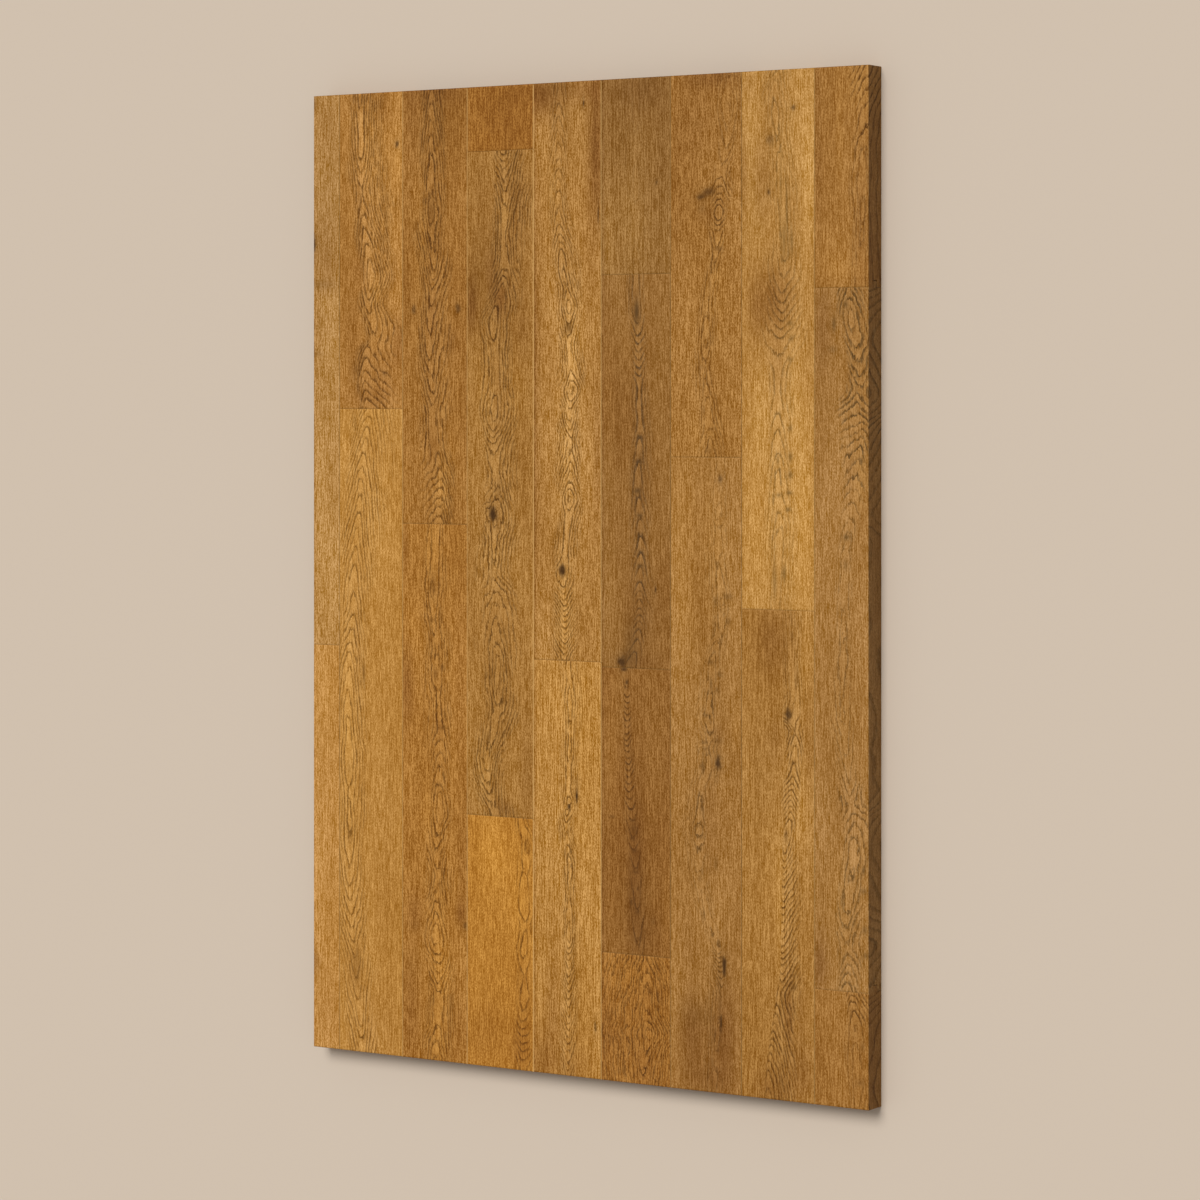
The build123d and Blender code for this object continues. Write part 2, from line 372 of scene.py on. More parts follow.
        ],
    },
    "strip_6_lower_middle": {
        "tint": (0.995, 0.954, 0.715), "wander": 0.3, "jag": 0.25, "grain": 1.05, "threads": 0.35,
        "reach": [(-320, 8, 9), (-200, 8, 9), (-165, 5, 7), (-90, 4, 4)],
        "axis": [
            (-75, -11, 0), (-95, -9, 1), (-140, -9, 10), (-165, -7, 14.5), (-187, -6, 18), (-204, -4, 20.1),
            (-221, -2, 21.1), (-231, -1, 22.1), (-249, 0, 23.1), (-283, 2, 24.1), (-305, 3, 25.1),
            (-320, 2, 25.5),
        ],
        "flanks": [(-320, 4.5, 4.5), (-200, 4.0, 4.5), (-150, 2.4, 2.4)],
        "knots": [
            (-12, -76, 3.5, 2.0, 0.8, 0), (-9, -87, 1.2, 2, 0.8, 0), (2, -263, 0.8, 1.2, 0.6, 0),
            (-4, -275, 1, 2.5, 0.5, 0),
        ],
        "shades": [
            (1, -275, 13, 55, 0.2), (-2, -212, 4, 4, 0.43), (-3, -205, 3, 1.4, 0.51),
            (-3, -221, 3, 1.4, 0.51), (-1, -231, 3, 1.4, 0.51), (0, -249, 3.5, 1.4, 0.51),
            (2, -283, 2, 2, 0.51), (3, -306, 3, 1.2, 0.51), (18, -290, 2.5, 3, 0.29),
            (-24, -203, 3, 1.4, 0.51),
        ],
        "woodAndShadeLifts": [
            (-33.2, -200, 1.5, 900, -0.1), (-26, -140, 10, 70, 0.14), (0, -245, 8, 60, -0.2),
            (8, -300, 14, 22, -0.12), (31, -280, 5, 45, 0.1), (-26, -285, 8, 30, 0.06),
        ],
    },
    "strip_6_lower": {
        "tint": (1.003, 0.882, 0.531), "reach": [(0, 46, 26)], "wander": 0.45, "jag": 0.75,
        "figure": [(0, 1.0)], "flankShare": 0.8, "bold": [(0, 1.25)], "plain": 0.6, "grain": 1.29,
        "axis": [
            (-320, 9, 6.5), (-335, 10, 4.6), (-350, 11, 3.6), (-368, 9, 2.6), (-376, 12, 2.4),
            (-386, 13, 0.4), (-394, 12, 1.8), (-410, 8, 2.6), (-430, 8, 3.4),
        ],
        "flanks": [(0, 3.6, 3.2)],
        "woodAndShadeLifts": [
            (-33.2, -375, 1.5, 900, -0.1), (-4, -338, 14, 10, 0.1), (-30, -370, 6, 40, -0.08),
            (24, -352, 4, 8, -0.1), (10, -420, 14, 30, -0.14), (-20, -395, 20, 26, -0.1),
            (12, -353, 5, 8, -0.1),
        ],
    },
    "strip_7_upper": {
        "tint": (0.975, 1.004, 0.873), "jag": 0.5, "grain": 1.26, "threads": 0.2,
        "reach": [(106, 16, 14), (285, 9, 10), (312, 9, 9), (340, 14, 13), (360, 12, 12)],
        "figure": [(106, 0.75), (260, 0.7), (285, 1.0), (330, 0.9), (355, 0.6), (430, 0.6)],
        "axis": [
            (430, 22, 4), (405, 22, 2.9), (385, 22, 3.6), (355, 18, 5.6), (345, 16, 6.4), (330, 14, 4.2),
            (312, 13, 0.3), (303, 12, 2.6), (296, 12, 4.05), (281, 11, 5.6), (262, 6, 6.2), (235, 1, 6.6),
            (200, 0, 5.6), (185, -2, 6.2), (165, 0, 5.2), (135, 5, 4.2), (115, 4, 2.4), (106, 3, 1.6),
        ],
        "flanks": [(106, 3.0, 3.0), (290, 3.0, 3.0), (312, 2.7, 2.7), (340, 4.5, 3.0), (430, 3.0, 3.0)],
        "knots": [(-5, 326, 4.0, 1.8, 0.6, 0), (3, 330, 6.0, 2.6, 0.4, 0)],
        "shades": [
            (-2, 324, 9, 7, 0.2), (-4, 327, 4.5, 2, 0.65), (1, 330, 5, 3, 0.5), (6, 333, 6, 3, 0.35),
            (-4, 316, 4, 3, 0.29), (12, 282, 4, 1.6, 0.65), (8, 268, 1.6, 6, 0.43), (4, 252, 1.4, 7, 0.36),
            (-5, 182, 3, 2, 0.43), (6, 130, 3, 1.6, 0.43), (3, 112, 2.5, 5, 0.43),
        ],
        "woodAndShadeLifts": [
            (-10, 390, 26, 45, -0.12), (8, 428, 30, 10, -0.2), (0, 312, 10, 8, -0.1),
            (8, 240, 12, 40, 0.09), (0, 125, 20, 20, 0.08), (-28, 300, 6, 80, -0.05), (14, 289, 4, 4, 0.16),
            (10, 262, 3, 10, 0.08),
        ],
    },
    "strip_7_lower": {
        "tint": (0.994, 0.985, 0.849), "jag": 0.65, "flankShare": 0.45, "lineTint": (0.95, 1.05, 1.5),
        "plain": 0.14, "threads": 0.4,
        "reach": [(-430, 12, 8), (-345, 13, 4), (-310, 12, 4), (-280, 14, 12), (106, 14, 12)],
        "figure": [
            (-430, 0.6), (-345, 0.75), (-300, 0.75), (-240, 0.7), (-140, 0.9), (-110, 0.9), (-60, 0.8),
            (20, 0.7), (70, 0.45),
        ],
        "axis": [
            (106, 13, 4.4), (88, 14, 3.6), (70, 13, 3.9), (58, 13, 3.3), (46, 13, 5), (30, 13, 4.3),
            (18, 12, 5.2), (0, 14, 4.6), (-20, 17, 3.8), (-45, 14, 4.8), (-67, 6, 3.1), (-80, 6, 3.5),
            (-105, 4, 3.05), (-113, 2, 2.1), (-122, 3, 2.6), (-130, 4, 3.2), (-138, 1, 4.1), (-152, 4, 3.4),
            (-175, -4, 3.2), (-203, -7, 2.1), (-207, -7, 1.1), (-216, -7, 2.05), (-226, -7, 3.05),
            (-250, -6, 4.2), (-275, 0, 4), (-305, 12, 3), (-322, 14, 7), (-343, 15, 11), (-365, 12, 11.6),
            (-395, 10, 11), (-430, 8, 11.6),
        ],
        "knots": [
            (14, 88, 2.5, 3.5, 0.6, 0.5), (12, -152, 2.8, 5.5, 0.9, 0.8), (18, -322, 2.1, 7.8, 0.95, 0),
            (15, -370, 1.0, 7, 0.9, 0),
        ],
        "shades": [
            (-3, -156, 2, 6, 0.65), (5, -85, 1.5, 5, 0.65), (12, -90, 10, 60, 0.06),
            (-10, -365, 16, 14, 0.14), (14, -345, 1, 22, 0.3), (11, 17, 2.5, 1.5, 0.51),
            (13, 47, 2, 1.5, 0.43), (22, -11, 4, 2.5, 0.51), (10, -15, 1.5, 5, 0.36),
            (22, -32, 2.5, 3, 0.43), (5, -67, 3, 2, 0.51), (14, -77, 2.5, 2, 0.43),
            (11, -90, 1.6, 2.5, 0.51), (0, -112, 3, 1.5, 0.65), (4, -126, 4, 1.5, 0.58),
            (-2, -135, 4, 1.5, 0.58), (-1, -140, 3, 1.5, 0.51), (12, -133, 5, 2.5, 0.36),
            (-5, -190, 1.5, 8, 0.36), (-8, -206, 2.5, 1.4, 0.51), (-6, -215, 3, 1.4, 0.58),
            (-7, -225, 3, 1.4, 0.58), (10, -237, 2, 5, 0.36), (-6, -250, 2, 3, 0.36),
            (-2, -280, 1.5, 5, 0.29),
        ],
        "woodAndShadeLifts": [
            (-24, 60, 16, 60, 0.16), (-24, -20, 12, 50, 0.14), (8, 30, 14, 60, 0.16),
            (-12, -60, 14, 60, 0.05), (-10, -400, 20, 30, -0.06), (-16, -310, 12, 24, -0.08),
            (12, -128, 6, 10, -0.14), (-14, -375, 14, 34, -0.22), (18, -380, 14, 50, -0.3),
            (0, -420, 30, 16, -0.12), (30, -120, 5, 20, 0.12), (4, -205, 14, 60, -0.12),
        ],
    },
    "strip_8_upper": {
        "tint": (1.015, 0.995, 0.87), "jag": 0.3, "flankShare": 0.55, "bold": [(0, 1.3)],
        "lineTint": (0.95, 1.15, 2.0), "plain": 0.12, "grain": 0.87, "threads": 0.15,
        "reach": [(-21, 12, 18), (180, 12, 18), (205, 18, 24), (255, 18, 24), (280, 14, 19)],
        "figure": [(-21, 0.4), (60, 0.7), (75, 0.9), (250, 0.9), (290, 0.7), (430, 0.6)],
        "axis": [
            (430, 0, 5), (412, -4, 3.1), (400, -3, 2.4), (350, 2, 2.8), (300, 6, 2.2), (275, 6, 2.6),
            (258, 5, 4), (240, 4, 6), (225, 3, 7.8), (203, 1, 10), (180, 0, 11.1), (160, 0, 11.4),
            (144, 0, 11.05), (129, 0, 10.05), (105, 0, 8.6), (97, 0, 7.9), (75, 0, 7.05), (50, 2, 6.2),
            (10, 0, 5.5), (-21, -2, 5.2),
        ],
        "flanks": [(-21, 3.0, 3.0), (180, 3.4, 3.4), (200, 6.5, 6.5), (255, 6.5, 6.5), (280, 3.0, 3.0)],
        "knots": [
            (15, 398, 1.8, 2.5, 0.65, 0.4), (-8, 372, 3.5, 3.5, 0.42, 0.6), (-9, 328, 1.3, 2.2, 0.75, 0),
            (-5, 39, 0.9, 2.5, 0.35, 0),
        ],
        "shades": [
            (6, 288, 2.2, 18, 0.6), (13, 287, 2, 11, 0.55), (3, 335, 1.2, 34, 0.4), (9, 315, 1.2, 26, 0.4),
            (-3, 2, 2.2, 16, 0.58), (6, 10, 2, 6, 0.72), (-22, 330, 18, 60, 0.06), (12, 131, 2, 3, 0.72),
            (12, 107, 2.2, 4, 0.72), (12, 92, 2.5, 3.5, 0.72), (11, 77, 3, 1.8, 0.9),
            (10, 63, 2.5, 1.8, 0.9), (12, 218, 3, 2, 0.65), (13, 206, 2.5, 3, 0.58),
            (12, 188, 2.5, 2, 0.72), (1, 75, 3, 1.8, 0.72), (0, 104, 1.5, 4, 0.65),
        ],
        "woodAndShadeLifts": [
            (-16, 340, 10, 36, -0.18), (-2, 236, 20, 34, -0.26), (0, 180, 9, 30, -0.14),
            (-22, 232, 10, 30, -0.12), (0, 150, 40, 36, 0.04), (-34, 345, 5, 40, -0.2),
            (-22, 60, 14, 80, 0.13), (26, 50, 12, 90, 0.16), (0, 405, 14, 26, -0.08), (0, 40, 40, 60, 0.06),
            (-28, 420, 10, 20, -0.1), (14, 300, 8, 50, -0.06), (30, 330, 6, 60, 0.06),
        ],
    },
    "strip_8_lower": {
        "tint": (1.074, 1.154, 1.058), "nose": 1.2, "flankShare": 0.9, "grain": 0.95, "threads": 0.55,
        "reach": [
            (-430, 4, 26), (-345, 3, 26), (-320, 2, 22), (-225, 2, 18), (-205, 4, 14), (-190, 8, 8),
            (-100, 12, 14), (-60, 12, 12),
        ],
        "figure": [(-430, 0.8), (-390, 1.0), (-130, 1.0), (-105, 0.7), (-60, 0.45), (-21, 0.4)],
        "bold": [(-430, 1.2), (-350, 1.35), (-320, 1.35), (-290, 1.1)],
        "axis": [
            (-21, 12, 3), (-95, 14, 3.4), (-108, 10, 2), (-121, 16, 5.6), (-134, 16, 4.05),
            (-146, 15, 3.05), (-158, 15, 2.05), (-171, 13, -0.4), (-195, 12, -5), (-208, 8, -6),
            (-225, 6, -5), (-318, 4, 11.5), (-332, 3, 13.6), (-340, 1, 14.2), (-347, 0, 13.6),
            (-360, -2, 11.6), (-385, -6, 7.8), (-405, -9, 5.2), (-430, -10, 3),
        ],
        "flanks": [
            (-430, 2.6, 3.2), (-350, 2.6, 3.4), (-325, 2.6, 4.2), (-240, 2.4, 3.4), (-200, 2.8, 2.8),
        ],
        "knots": [(10, -108, 3.0, 5.5, 0.85, 1.0)],
        "shades": [
            (18, -78, 1.5, 8, 0.43), (-15, -150, 18, 60, 0.1), (15, -335, 3, 2.5, 0.72),
            (16, -326, 2, 2.5, 0.51), (8, -210, 1.6, 7, 0.43),
        ],
        "woodAndShadeLifts": [
            (-4, -45, 18, 34, -0.2), (4, -240, 12, 50, 0.08), (14, -355, 10, 30, -0.26),
            (26, -80, 9, 60, 0.12), (24, -405, 12, 26, -0.18), (20, -180, 9, 40, 0.12),
            (-4, -422, 20, 20, -0.16), (-2, -130, 8, 20, -0.1), (28, -120, 8, 45, -0.14),
            (-10, -255, 12, 60, 0.05), (2, -285, 4, 50, 0.08), (17, -350, 4, 28, 0.2),
        ],
    },
    "strip_9_upper": {
        **rightWall, "tint": (0.955, 0.975, 0.833), "jag": 0.45, "flankShare": 1.0, "grain": 0.95,
        "reach": [(247, 12, 10), (350, 12, 10), (380, 17, 6)],
        "figure": [(247, 0.6), (350, 0.6), (380, 1.0)],
        "axis": [
            (430, 25, 6.4), (408, 25, 4), (385, 25, 2), (365, 22, 0.6), (340, 20, 0.2), (247, 18, 0.2),
        ],
        "flanks": [(247, 3.3, 3.3), (350, 3.3, 3.3), (375, 5.5, 3.3)],
        "woodAndShadeLifts": [
            (14, 412, 10, 18, 0.1), (-22, 360, 5, 60, -0.08), (0, 262, 26, 10, 0.06),
            (-23, 420, 3, 20, -0.12), (-2, 380, 4, 50, 0.08), (19, 300, 8, 70, -0.1),
            (-6, 270, 16, 24, 0.08),
        ],
    },
    "strip_9_middle": {
        **rightWall, "tint": (1.014, 1.111, 1.193), "wander": 0.35, "jag": 0.55, "flankShare": 0.95,
        "lineTint": (0.95, 1.15, 2.0), "grain": 0.9,
        "reach": [
            (-334, 12, 16), (-180, 14, 18), (-140, 11, 12), (40, 9, 10), (100, 16, 14), (140, 20, 12),
            (160, 14, 16),
        ],
        "figure": [(-334, 0.9), (-180, 1.0), (-140, 0.6), (30, 0.55), (60, 0.8), (105, 1.0)],
        "bold": [(-334, 1.4), (-180, 1.4), (-140, 1.0), (60, 1.1), (105, 1.5), (200, 1.5)],
        "axis": [
            (247, 7, 6.4), (240, 8, 5.05), (231, 8, 4.05), (222, 9, 3.6), (208, 12, 3.8), (200, 14, 4.2),
            (195, 15, 5.05), (184, 16, 6.05), (175, 17, 7.05), (166, 17, 8.05), (158, 15, 8.05),
            (151, 14, 7.05), (143, 16, 6.05), (136, 20, 5.05), (129, 20, 4.05), (122, 19, 3.05),
            (115, 17, 2.05), (107, 14, 1.05), (94, 13, 0.05), (83, 12, -0.95), (72, 11, -1.95),
            (60, 10, -2.95), (42, 6, -3.95), (20, 4, -4.6), (-15, 2, -5), (-60, 1, -5.6), (-110, 1, -5.2),
            (-145, 6, -3.4), (-160, 8, -2.95), (-172, 8, -1.95), (-181, 9, -0.95), (-188, 13, -1.95),
            (-198, 14, -2.95), (-208, 12, -3.95), (-222, 12, -4.4), (-240, 8, -4.6), (-262, 6, -4.4),
            (-280, 5, -2.95), (-292, 5, -1.95), (-301, 7, -1.7), (-310, 8, -2.95), (-318, 7, -3.95),
            (-326, 5, -4.95), (-334, 5, -6),
        ],
        "flanks": [
            (-334, 3.2, 3.2), (-230, 5.0, 5.0), (-190, 6.0, 9.0), (-170, 3.4, 3.4), (40, 3.4, 3.4),
            (60, 6.0, 5.0), (100, 7.0, 6.0), (112, 11.0, 5.0), (140, 11.0, 5.0), (152, 5.0, 6.0),
            (180, 4.0, 4.0), (247, 3.2, 3.6),
        ],
        "shades": [
            (-7, 217, 2, 6, 0.72), (4, 233, 2.5, 3, 0.72), (5, 41, 3.5, 2.5, 0.8), (4, 18, 2.5, 5, 0.43),
            (-8, 196, 4, 3, 0.36), (21, -233, 2, 4, 0.65), (21, -250, 3, 2.5, 0.58),
            (22, -282, 2.5, 3.5, 0.58), (23, -303, 2.5, 2.5, 0.58), (19, 104, 1.6, 3, 0.72),
        ],
        "woodAndShadeLifts": [
            (-18, 215, 9, 40, -0.16), (18, 90, 8, 25, 0.1), (-21, -312, 8, 24, -0.26), (9, 94, 5, 14, -0.1),
            (-4, -260, 9, 40, 0.08), (0, -110, 10, 30, 0.05), (10, -190, 10, 25, -0.06),
        ],
    },
    "strip_9_lower": {
        **rightWall, "tint": (0.937, 0.955, 0.834), "jag": 0.4, "flankShare": 0.95, "grain": 0.93,
        "reach": [(-430, 11, 10), (-370, 11, 10), (-350, 7, 18)],
        "figure": [(-430, 0.55), (-370, 0.6), (-350, 0.95)],
        "axis": [
            (-334, 10, 4.4), (-346, 11, 2.4), (-360, 13, 1.0), (-385, 13, 0.6), (-410, 15, 0.3),
            (-430, 15, 0.8),
        ],
        "shades": [(20, -378, 2, 5, 0.43), (18, -408, 4, 3, 0.43)],
    },
}

# The window that slides along the board: how far it goes either way, its samples, how their weights taper
easing = {"reach": 6.0, "samples": 7, "taper": 2.3}
# How the figure bends and fades
figureShape = {
    "diveCore": 8.0,  # the rings dive fully within this distance of the axis
    "slowBends": (11.0, 34.0),  # across and along
    "quickBends": (5.0, 15.0),
    "quickShare": 0.5,
    "patches": (14.0, 30.0),  # where the reach is wider or narrower
    "patchShare": 0.35,
    "fade": (0.45, 1.05),  # from full strength to none, in shares of the reach
    "heart": 5.0,  # half width of the strongest figure
}
knotShape = {
    "ragged": 0.3,  # of its rim
    "raggedCell": 2.5,
    "sink": 7.0,  # how far down it grows fainter by one of its radii
    "flow": 2.2,  # how far the rings flow round it, in radii
    "rim": 1.5,  # where it ends, in radii
    "halo": 0.25,  # darkness of the wood round it
    "haloReach": 2.0,
    "dip": 0.25,  # of the face in its heart
}


def eased(along, places, values):
    # straight lines between the given values, averaged over a cosine window that slides along the strip
    order = np.argsort(places)
    places, values = places[order], values[order]
    window = np.linspace(-easing["reach"], easing["reach"], easing["samples"])
    weights = np.cos(window / easing["reach"] * math.pi / easing["taper"])
    shifted = (weight * np.interp(along + shift, places, values) for weight, shift in zip(weights, window))
    return sum(shifted) / weights.sum()


def smooth(value, low, high):
    # smoothstep from 0 at low to 1 at high
    part = np.clip((value - low) / (high - low), 0, 1)
    return part * part * (3 - 2 * part)


def latticeNoise(across, along, cell, seed):
    # random values at the corners of cells, blended by the smoothstep of the place within the cell
    size = 64  # cells before it repeats
    table = np.random.default_rng(seed).uniform(-1.0, 1.0, (size, size))
    across, along = across / cell[0], along / cell[1]
    column, row = np.floor(across).astype(int), np.floor(along).astype(int)
    partX, partY = smooth(across - column, 0, 1), smooth(along - row, 0, 1)
    here, beside = column % size, (column + 1) % size
    near, far = row % size, (row + 1) % size
    nearMix = table[here, near] * (1 - partX) + table[beside, near] * partX
    farMix = table[here, far] * (1 - partX) + table[beside, far] * partX
    return nearMix * (1 - partY) + farMix * partY


def knotReach(across, along, depth, knot, seed):
    # distance from a knot's heart in knot radii, with a ragged rim, growing as the knot dies out with depth
    cell = (knotShape["raggedCell"], knotShape["raggedCell"])
    ragged = 1 + knotShape["ragged"] * latticeNoise(across, along, cell, seed + 7)
    away = np.hypot((across - knot[0]) / knot[2], (along - knot[1]) / knot[3])
    return ragged * away + depth / knotShape["sink"]


def figureOf(across, along, depth, look, seed):
    # rings: those counted on the axis, plus the distance beside it over the ring width with a rounded nose,
    # less those passed going down, plus slow and quick bends and a bump round every knot
    # strength: 1 near the axis, less on the flanks, falling off towards the reach on either side
    shape = figureShape
    places, sideways, counted = np.array(look["axis"], float).T
    beside = across - eased(along, places, sideways)

    def sided(key):
        where, leftValues, rightValues = np.array(look[key], float).T
        return np.where(beside < 0, eased(along, where, leftValues), eased(along, where, rightValues))

    nose = look["nose"]
    rings = eased(along, places, counted) + (np.hypot(beside, nose) - nose) / sided("flanks")
    rings -= depth / look["dive"] * shape["diveCore"] / np.hypot(beside, shape["diveCore"])
    bends = latticeNoise(across, along, shape["slowBends"], seed)
    bends = bends + shape["quickShare"] * latticeNoise(across, along, shape["quickBends"], seed + 1)
    rings += look["wander"] * bends
    for knot in look["knots"]:
        rings += knot[5] * np.exp(-((knotReach(across, along, depth, knot, seed) / knotShape["flow"]) ** 2))
    uneven = 1 + shape["patchShare"] * latticeNoise(across, along, shape["patches"], seed + 2)
    inReach = 1 - smooth(np.abs(beside) * uneven / sided("reach"), *shape["fade"])
    strength = look["plain"] + (1 - look["plain"]) * inReach
    strength *= look["flankShare"] + (1 - look["flankShare"]) * np.exp(-((beside / shape["heart"]) ** 2))
    figurePlaces, figure = np.array(look["figure"], float).T
    return rings, strength * eased(along, figurePlaces, figure)


def knotMask(across, along, depth, look, seed):
    # 1 in a knot's heart, falling to 0 past its rim, and a faint bell-shaped halo round it
    mask = np.zeros_like(across)
    for knot in look["knots"]:
        away = knotReach(across, along, depth, knot, seed)
        halo = knotShape["halo"] * np.exp(-((away / knotShape["haloReach"]) ** 2))
        mask = np.maximum(mask, knot[4] * np.maximum(np.clip(knotShape["rim"] - away, 0, 1), halo))
    return mask


def softClouds(across, along, clouds):
    # sum of bell-shaped clouds
    total = np.zeros_like(across)
    for x, y, halfWidth, halfLength, amount in clouds:
        away = ((across - x) / halfWidth) ** 2 + ((along - y) / halfLength) ** 2
        total = total + amount * np.exp(-away)
    return total


def edgeOutline(kind, bevel):
    # depth under the face and outset from the shoulder, from the face down to the back
    m = milling
    fall = m["ledgeFall"] / 2
    roof = m["wearDepth"]
    floorDepth = roof + m["grooveHeight"]
    top = roof + m["tonguePlay"]
    bottom = floorDepth - m["tonguePlay"]
    reach = m["grooveDepth"] - m["tipGap"]
    nose = m["tongueNose"]
    start = [(0, -bevel), (bevel, 0)]
    if kind == "groove":
        lip = -m["backRelief"]
        deep = -m["grooveDepth"]
        return start + [
            (roof - fall, 0), (roof + fall, deep), (floorDepth - fall, deep), (floorDepth + fall, lip),
            (thickness, lip),
        ]
    if kind == "tongue":
        return start + [
            (top - fall, 0), (top + fall, reach - nose), (top + nose, reach), (bottom - nose, reach),
            (bottom - fall, reach - nose), (bottom + fall, 0), (thickness, 0),
        ]
    return start + [(thickness, 0)]


def stripEdges(name):
    # shoulders of a strip and the kind of its lower, right, upper and left edge, read from its node's box
    low, high = (np.array(corner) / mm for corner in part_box(name))
    reach = milling["grooveDepth"] - milling["tipGap"]
    outer = [low[1], high[0], high[1], low[0]]
    sawn = np.isclose(outer, [boardLow[1], boardHigh[0], boardHigh[1], boardLow[0]], atol=0.01)
    kinds = ["sawn" if cut else kind for cut, kind in zip(sawn, ("groove", "tongue", "tongue", "groove"))]
    right = high[0] - (0 if sawn[1] else reach)
    upper = high[1] - (0 if sawn[2] else reach)
    return (low[0], right, low[1], upper), kinds


def makeStrip(name, look, seed):
    # a grid for the face, and under it a stack of rectangles, one for each depth where an outline bends
    (left, right, lower, upper), kinds = stripEdges(name)
    middle = (left + right) / 2
    bevels = [milling["endBevel"], milling["sideBevel"]] * 2
    bevels = [milling["sawnBevel"] if kind == "sawn" else bevel for kind, bevel in zip(kinds, bevels)]
    outlines = [np.array(edgeOutline(kind, bevel), float).T for kind, bevel in zip(kinds, bevels)]
    levels = np.unique(np.round(np.concatenate([o[0] for o in outlines] + [surface["wallLevels"]]), 4))
    outsets = np.array([np.interp(levels, o[0], o[1]) for o in outlines])  # lower, right, upper, left
    cellsAcross = max(round((right - left) / surface["cellAcross"]), 2)
    cellsAlong = max(round((upper - lower) / surface["cellAlong"]), 2)
    cells = [cellsAcross, cellsAlong] * 2

    # face grid
    gridX = np.linspace(left - outsets[3, 0], right + outsets[1, 0], cellsAcross + 1)
    gridY = np.linspace(lower - outsets[0, 0], upper + outsets[2, 0], cellsAlong + 1)
    across, along = (a.ravel() for a in np.meshgrid(gridX, gridY))
    grid = np.arange(across.size).reshape(cellsAlong + 1, cellsAcross + 1)
    points = [np.stack([across, along, np.zeros_like(across)], 1)]
    quads = np.stack([grid[:-1, :-1], grid[:-1, 1:], grid[1:, 1:], grid[1:, :-1]], -1).reshape(-1, 4)
    faces = quads.tolist()

    # joint lines on the bevels, and a little over the edge of the face: pale ones a painted highlight, dark
    # ones stain
    course = int(name.split("_")[1])
    lowerJoint, upperJoint = (0 if kinds[i] == "sawn" else endJoints for i in (0, 2))
    rightJoint = 0 if kinds[1] == "sawn" else longJoints[course - 1][0]
    leftJoint = 0 if kinds[3] == "sawn" else longJoints[course - 2][1]
    joints = [lowerJoint, rightJoint, upperJoint, leftJoint]
    bevelled = [np.zeros(across.size)]
    bevelled[0][grid[:, 0]] = jointSpread * leftJoint
    bevelled[0][grid[:, -1]] = jointSpread * rightJoint

    # walls, level by level
    above = [grid[0], grid[:, -1], grid[-1, ::-1], grid[::-1, 0]]
    first = across.size
    deepestBevel = max(bevels)
    for k in range(1, len(levels)):
        xa, xb = left - outsets[3, k], right + outsets[1, k]
        ya, yb = lower - outsets[0, k], upper + outsets[2, k]
        corners = np.array([(xa, ya), (xb, ya), (xb, yb), (xa, yb), (xa, ya)])
        counts = [cells[i] if levels[k] <= deepestBevel or kinds[i] == "sawn" else 1 for i in range(4)]
        starts = first + np.concatenate([[0], np.cumsum(counts)])
        below = []
        for i in range(4):
            share = np.arange(counts[i])[:, None] / counts[i]
            row = corners[i] + share * (corners[i + 1] - corners[i])
            points.append(np.column_stack([row, np.full(counts[i], levels[k])]))
            bevelled.append(np.full(counts[i], joints[i] if levels[k] <= deepestBevel else 0.0))
            nextCorner = starts[i + 1] if i < 3 else first
            below.append(np.append(np.arange(starts[i], starts[i + 1]), nextCorner))
        for upRow, downRow in zip(above, below):
            if len(upRow) == len(downRow):
                faces += np.stack([downRow[:-1], downRow[1:], upRow[1:], upRow[:-1]], 1).tolist()
            else:
                faces.append([*downRow.tolist(), *upRow[::-1].tolist()])
        above = below
        first = starts[-1]
    faces.append(np.concatenate([row[:-1] for row in above])[::-1].tolist())  # back

    place = np.concatenate(points)
    across, along, depth = place.T
    beside = across - middle
    rings, strength = figureOf(beside, along, depth, look, seed)
    strength[grid.size:] = np.maximum(strength[grid.size:], look["wallFigure"])
    jags = np.full(rings.size, look["jag"])
    jags[grid.size:] *= surface["wallJag"]
    knots = knotMask(beside, along, depth, look, seed)

    # pitch: millimetres from ring to ring, one over the slope of the ring count
    ringGrid = rings[: grid.size].reshape(grid.shape)
    slopeY, slopeX = np.gradient(ringGrid, gridY, gridX)
    pitch = np.full(rings.size, look["wallPitch"])
    slope = np.maximum(np.hypot(slopeX, slopeY), 1e-6)
    pitch[: grid.size] = np.clip(1 / slope, *surface["pitchLimits"]).ravel()
    boldPlaces, bold = np.array(look["bold"], float).T
    drawnPitch = pitch / eased(along, boldPlaces, bold)  # a smaller pitch draws thicker lines

    # brushed grain: the face sinks along the dark rings where the grid can follow them, and in the knots
    perCell = np.hypot(slopeX * surface["cellAcross"], slopeY * surface["cellAlong"])
    follows = np.clip(surface["follow"][0] - surface["follow"][1] * perCell, 0, 1)
    fromRing = np.abs((ringGrid + 0.5) % 1 - 0.5) * pitch[: grid.size].reshape(grid.shape)
    groove = np.clip(1 - fromRing / surface["grainHalf"], 0, 1)
    dips = knotShape["dip"] * knots[: grid.size].reshape(grid.shape) ** 2
    depth = depth.copy()
    depth[: grid.size] += (surface["grainDepth"] * follows * groove + dips).ravel()

